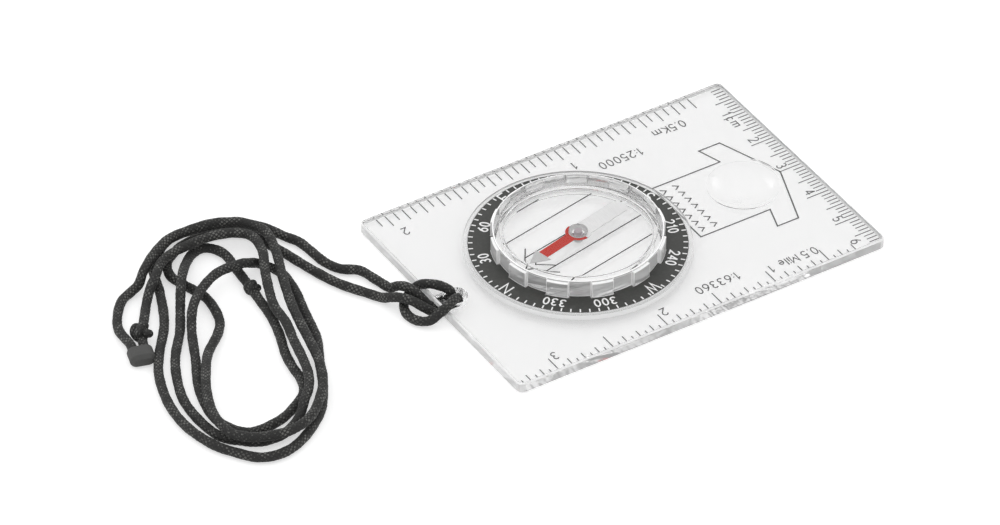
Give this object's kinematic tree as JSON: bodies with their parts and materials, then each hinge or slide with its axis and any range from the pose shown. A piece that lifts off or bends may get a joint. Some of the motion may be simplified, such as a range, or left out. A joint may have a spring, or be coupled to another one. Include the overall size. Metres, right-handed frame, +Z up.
{
  "type": "baseplate compass",
  "caption": "Clear baseplate compass with a turning dial, a liquid-filled capsule with a magnetic needle, printed scales, a magnifying lens and a coiled neck cord.",
  "frame": {"origin": "under the middle of the base plate, on the surface that it lies on; the neck cord isn't counted", "axes": "+Z up out of the dial, +Y the direction of travel, which the arrow on the plate points in, +X to the plate's right"},
  "size_m": [0.0774, 0.1469, 0.0075],
  "materials": {
    "clear_plastic": "clear, polished",
    "grey_ink": "printed ink",
    "black_ring": "satin",
    "white_print": "printed ink",
    "steel": "satin",
    "red_paint": "gloss",
    "white_paint": "gloss",
    "jewel": "polished",
    "cord": "braided",
    "end_cap": "matt"
  },
  "bodies": {
    "plate": {"base_plate": "clear_plastic", "cm_scale": "grey_ink", "km_scale": "grey_ink", "mile_scale": "grey_ink", "travel_arrow": "grey_ink", "travel_chevrons": "grey_ink", "lanyard_hitch": "cord", "lanyard_strand_a": "cord", "lanyard_strand_b": "cord", "cord_end_cap": "end_cap"},
    "dial": {"bezel_ring": "clear_plastic", "dial_ring": "black_ring", "dial_marks": "white_print", "retaining_ring": "clear_plastic", "capsule_body": "clear_plastic", "capsule_cover": "clear_plastic", "north_lines": "grey_ink", "orienting_arrow": "grey_ink", "pivot_foot": "clear_plastic", "pivot_pin": "steel"},
    "needle": {"needle_blade": "steel", "needle_north_paint": "red_paint", "needle_south_paint": "white_paint", "needle_cap": "clear_plastic", "jewel_bearing": "jewel"}
  },
  "joints": [
    {"name": "dial_turn", "type": "hinge", "parent": "plate", "child": "dial", "pos_m": [0, -0.0104, 0.003], "axis": [0, 0, 1], "continuous": true},
    {"name": "needle_swing", "type": "hinge", "parent": "dial", "child": "needle", "pos_m": [0, -0.0104, 0.0055], "axis": [0, 0, 1], "continuous": true}
  ]
}
